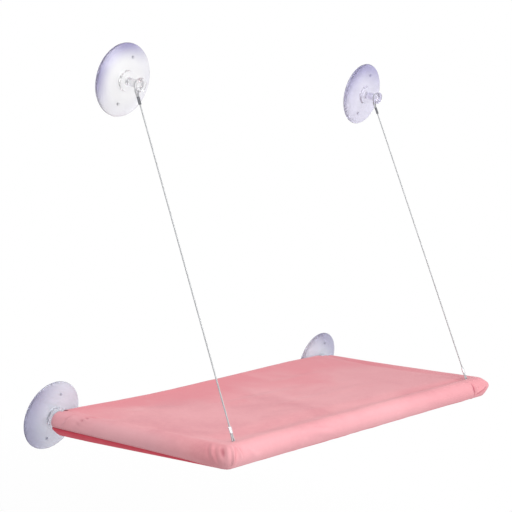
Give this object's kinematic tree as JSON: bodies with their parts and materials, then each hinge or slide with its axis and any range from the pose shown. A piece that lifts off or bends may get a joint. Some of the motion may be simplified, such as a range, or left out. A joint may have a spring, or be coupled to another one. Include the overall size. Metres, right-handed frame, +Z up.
{
  "type": "window mounted cat perch",
  "caption": "Cat bed that sticks to a window: a flat fabric platform on a hidden tube frame, plugged onto suction cups at the rear and hung from steel cables at the front.",
  "frame": {"origin": "on the window pane, midway between the centres of the lower suction cups", "axes": "+X along the window to the right as seen from the room, +Y through the pane to the outside, +Z up"},
  "size_m": [0.618, 0.2778, 0.488],
  "materials": {
    "clear_pvc": "clear soft PVC with a faint lavender tint, glossy",
    "cover_pink": "short-pile brushed microfibre, pink",
    "cover_red": "plain woven polyester, deep red",
    "hook_and_loop": "hook and loop tape",
    "frame_tube": "extruded ABS tube, satin",
    "frame_joint": "moulded nylon, satin",
    "steel_wire": "stranded steel wire rope",
    "dark_ferrule": "crimped steel ferrule, dark",
    "bright_ferrule": "crimped aluminium ferrule, bright",
    "steel_pin": "plain steel pin"
  },
  "bodies": {
    "cables": {"left_cable": "steel_wire", "right_cable": "steel_wire", "upper_left_eye": "steel_wire", "upper_left_ferrule": "dark_ferrule", "upper_right_eye": "steel_wire", "upper_right_ferrule": "dark_ferrule"},
    "upper_left_cup": {"upper_left_suction_cup": "clear_pvc"},
    "upper_right_cup": {"upper_right_suction_cup": "clear_pvc"},
    "lower_left_cup": {"lower_left_suction_cup": "clear_pvc"},
    "lower_right_cup": {"lower_right_suction_cup": "clear_pvc"},
    "platform": {"cover_top": "cover_pink", "cover_bottom": "cover_red", "closing_flap": "cover_red", "hook_strip": "hook_and_loop", "loop_strip": "hook_and_loop", "front_left_tube": "frame_tube", "front_right_tube": "frame_tube", "rear_left_tube": "frame_tube", "rear_right_tube": "frame_tube", "left_side_tube": "frame_tube", "right_side_tube": "frame_tube", "front_left_elbow": "frame_joint", "front_right_elbow": "frame_joint", "rear_left_elbow": "frame_joint", "rear_right_elbow": "frame_joint", "front_coupler": "frame_joint", "rear_coupler": "frame_joint", "lower_left_eye": "steel_wire", "lower_right_eye": "steel_wire", "lower_left_ferrule": "bright_ferrule", "lower_right_ferrule": "bright_ferrule", "left_anchor_pin": "steel_pin", "right_anchor_pin": "steel_pin"}
  },
  "joints": [
    {"name": "platform_fold", "type": "hinge", "parent": "cables", "child": "platform", "pos_m": [0, -0.0232, 0], "axis": [-1, 0, 0], "range_deg": [0, 60], "deforming": ["left_cable", "right_cable"]},
    {"name": "upper_left_cup_spin", "type": "hinge", "parent": "cables", "child": "upper_left_cup", "pos_m": [-0.24, 0, 0.403], "axis": [0, -1, 0], "continuous": true},
    {"name": "upper_right_cup_spin", "type": "hinge", "parent": "cables", "child": "upper_right_cup", "pos_m": [0.24, 0, 0.403], "axis": [0, -1, 0], "continuous": true},
    {"name": "lower_left_cup_spin", "type": "hinge", "parent": "cables", "child": "lower_left_cup", "pos_m": [-0.2665, 0, 0], "axis": [0, -1, 0], "continuous": true},
    {"name": "lower_right_cup_spin", "type": "hinge", "parent": "cables", "child": "lower_right_cup", "pos_m": [0.2665, 0, 0], "axis": [0, -1, 0], "continuous": true}
  ]
}
